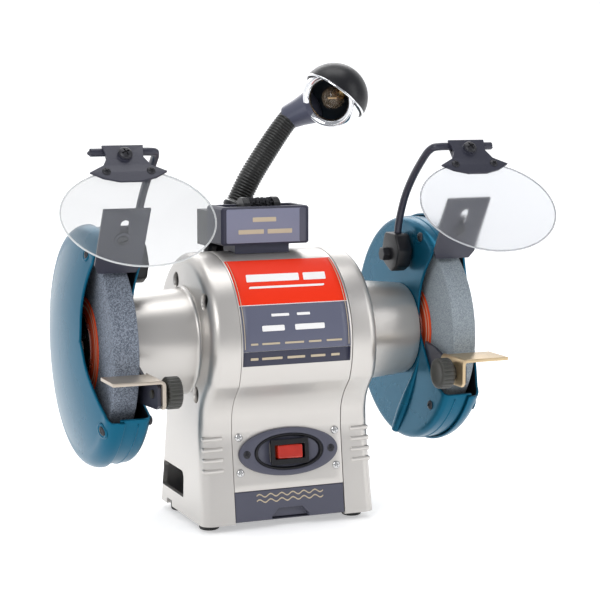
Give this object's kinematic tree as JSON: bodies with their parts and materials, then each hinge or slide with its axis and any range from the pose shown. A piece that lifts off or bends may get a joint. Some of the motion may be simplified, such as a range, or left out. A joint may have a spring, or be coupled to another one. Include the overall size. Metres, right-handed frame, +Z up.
{
  "type": "bench grinder",
  "caption": "Bench grinder: silver motor body with long necks, teal wheel guards, clear eye shields, tool rests, coolant tray, dressing tool holder and gooseneck lamp.",
  "frame": {"origin": "middle of the footprint, on the bench under the rubber feet", "axes": "+X along the wheel shaft to the right as seen from the front, +Y from the front to the back, +Z up"},
  "size_m": [0.379, 0.227, 0.3478],
  "materials": {
    "silver_paint": "warm silver metallic enamel, satin",
    "teal_paint": "glossy teal enamel",
    "slate_plastic": "fine-grained slate moulding",
    "slate_steel": "dark slate baked coating",
    "black_rubber": "black rubber",
    "black_plastic": "black moulding, semi-gloss",
    "bright_steel": "turned bright steel",
    "laminated_steel": "varnished laminations",
    "coarse_stone": "coarse bonded abrasive, open grain",
    "fine_stone": "fine bonded abrasive, close grain",
    "orange_paper": "printed orange card, matt",
    "yellow_zinc": "yellow passivated zinc plate",
    "plain_zinc": "plain zinc plate",
    "clear_plastic": "clear polycarbonate",
    "chrome": "bright chrome",
    "bulb_glass": "clear bulb glass",
    "red_plastic": "translucent red moulding",
    "capacitor_can": "drawn can"
  },
  "bodies": {
    "machine": {"motor_shell": "silver_paint", "end_cap_left": "silver_paint", "end_cap_right": "silver_paint", "base_plate": "slate_steel", "foot_front_left": "black_rubber", "foot_front_right": "black_rubber", "foot_back_left": "black_rubber", "foot_back_right": "black_rubber", "stator_core": "laminated_steel", "bearing_left": "bright_steel", "bearing_right": "bright_steel", "run_capacitor": "capacitor_can", "cable_gland": "black_rubber", "switch_bezel": "slate_plastic", "switch_body": "black_plastic", "tool_holder": "slate_plastic", "lamp_socket": "black_plastic", "guard_cover_left": "teal_paint", "guard_inner_left": "teal_paint", "rest_bracket_left": "slate_steel", "guard_cover_right": "teal_paint", "guard_inner_right": "teal_paint", "rest_bracket_right": "slate_steel"},
    "rotor": {"rotor_shaft": "bright_steel", "rotor_core": "laminated_steel", "wheel_coarse": "coarse_stone", "wheel_fine": "fine_stone", "inner_flange_left": "bright_steel", "outer_flange_left": "bright_steel", "inner_blotter_left": "orange_paper", "outer_blotter_left": "orange_paper", "wheel_nut_left": "bright_steel", "inner_flange_right": "bright_steel", "outer_flange_right": "bright_steel", "inner_blotter_right": "orange_paper", "outer_blotter_right": "orange_paper", "wheel_nut_right": "bright_steel"},
    "rocker": {"rocker_switch": "red_plastic"},
    "tray": {"coolant_tray": "slate_plastic"},
    "dresser": {"dresser_frame": "black_plastic"},
    "star_wheels": {"dresser_wheels": "bright_steel"},
    "neck_lower": {"lamp_neck_lower": "black_rubber"},
    "neck_upper": {"lamp_neck_upper": "black_rubber"},
    "lamp": {"lamp_head": "chrome", "lamp_bulb": "bulb_glass"},
    "hood": {"lamp_hood": "black_plastic"},
    "rest_left": {"tool_rest_left": "plain_zinc"},
    "knob_left": {"rest_knob_left": "black_plastic"},
    "spark_left": {"spark_plate_left": "slate_steel"},
    "arm_left": {"shield_arm_left": "slate_steel", "shield_clamp_left": "slate_steel"},
    "shield_left": {"shield_bracket_left": "slate_steel", "shield_lens_left": "clear_plastic"},
    "rest_right": {"tool_rest_right": "yellow_zinc"},
    "knob_right": {"rest_knob_right": "black_plastic"},
    "spark_right": {"spark_plate_right": "slate_steel"},
    "arm_right": {"shield_arm_right": "slate_steel", "shield_clamp_right": "slate_steel"},
    "shield_right": {"shield_bracket_right": "slate_steel", "shield_lens_right": "clear_plastic"}
  },
  "joints": [
    {"name": "rotor_spin", "type": "hinge", "parent": "machine", "child": "rotor", "pos_m": [0, 0.02321, 0.139], "axis": [1, 0, 0], "continuous": true},
    {"name": "rest_slide_left", "type": "slide", "parent": "machine", "child": "rest_left", "axis": [0, -1, 0], "range_m": [0, 0.008]},
    {"name": "rest_knob_turn_left", "type": "hinge", "parent": "machine", "child": "knob_left", "pos_m": [-0.112, -0.06879, 0.1168], "axis": [1, 0, 0], "range_deg": [0, 360]},
    {"name": "spark_slide_left", "type": "slide", "parent": "machine", "child": "spark_left", "axis": [0, 0.5075, -0.8616], "range_m": [0, 0.003]},
    {"name": "arm_swing_left", "type": "hinge", "parent": "machine", "child": "arm_left", "pos_m": [-0.107, 0.01821, 0.199], "axis": [1, 0, 0], "range_deg": [-45, 5]},
    {"name": "shield_tilt_left", "type": "hinge", "parent": "arm_left", "child": "shield_left", "pos_m": [-0.1345, -0.04629, 0.285], "axis": [1, 0, 0], "range_deg": [-95, 12]},
    {"name": "rest_slide_right", "type": "slide", "parent": "machine", "child": "rest_right", "axis": [0, -1, 0], "range_m": [0, 0.008]},
    {"name": "rest_knob_turn_right", "type": "hinge", "parent": "machine", "child": "knob_right", "pos_m": [0.112, -0.06879, 0.1168], "axis": [1, 0, 0], "range_deg": [0, 360]},
    {"name": "spark_slide_right", "type": "slide", "parent": "machine", "child": "spark_right", "axis": [0, 0.5075, -0.8616], "range_m": [0, 0.003]},
    {"name": "arm_swing_right", "type": "hinge", "parent": "machine", "child": "arm_right", "pos_m": [0.107, 0.01821, 0.199], "axis": [1, 0, 0], "range_deg": [-45, 5]},
    {"name": "shield_tilt_right", "type": "hinge", "parent": "arm_right", "child": "shield_right", "pos_m": [0.1345, -0.04629, 0.285], "axis": [1, 0, 0], "range_deg": [-95, 12]},
    {"name": "rocker_tilt", "type": "hinge", "parent": "machine", "child": "rocker", "pos_m": [0, -0.02093, 0.05693], "axis": [0, 0.1331, 0.9911], "range_deg": [0, 16]},
    {"name": "tray_slide", "type": "slide", "parent": "machine", "child": "tray", "axis": [0, -1, 0], "range_m": [0, 0.09]},
    {"name": "dresser_lift", "type": "slide", "parent": "machine", "child": "dresser", "axis": [0, 0, 1], "range_m": [0, 0.06]},
    {"name": "star_wheel_spin", "type": "hinge", "parent": "dresser", "child": "star_wheels", "pos_m": [-0.0055, 0.02221, 0.2365], "axis": [1, 0, 0], "continuous": true},
    {"name": "neck_root_bend", "type": "hinge", "parent": "machine", "child": "neck_lower", "pos_m": [-0.0078, 0.06121, 0.239], "axis": [0, 1, 0], "range_deg": [-18, 18]},
    {"name": "neck_middle_bend", "type": "hinge", "parent": "neck_lower", "child": "neck_upper", "pos_m": [0.014, 0.06121, 0.276], "axis": [1, 0, 0], "range_deg": [-18, 18]},
    {"name": "lamp_head_turn", "type": "hinge", "parent": "neck_upper", "child": "lamp", "pos_m": [0.038, 0.06421, 0.306], "axis": [0, 1, 0], "range_deg": [-15, 15]},
    {"name": "lamp_hood_turn", "type": "hinge", "parent": "lamp", "child": "hood", "pos_m": [0.0646, 0.03921, 0.3213], "axis": [0.6698, -0.5175, -0.5324], "range_deg": [-10, 40]}
  ]
}
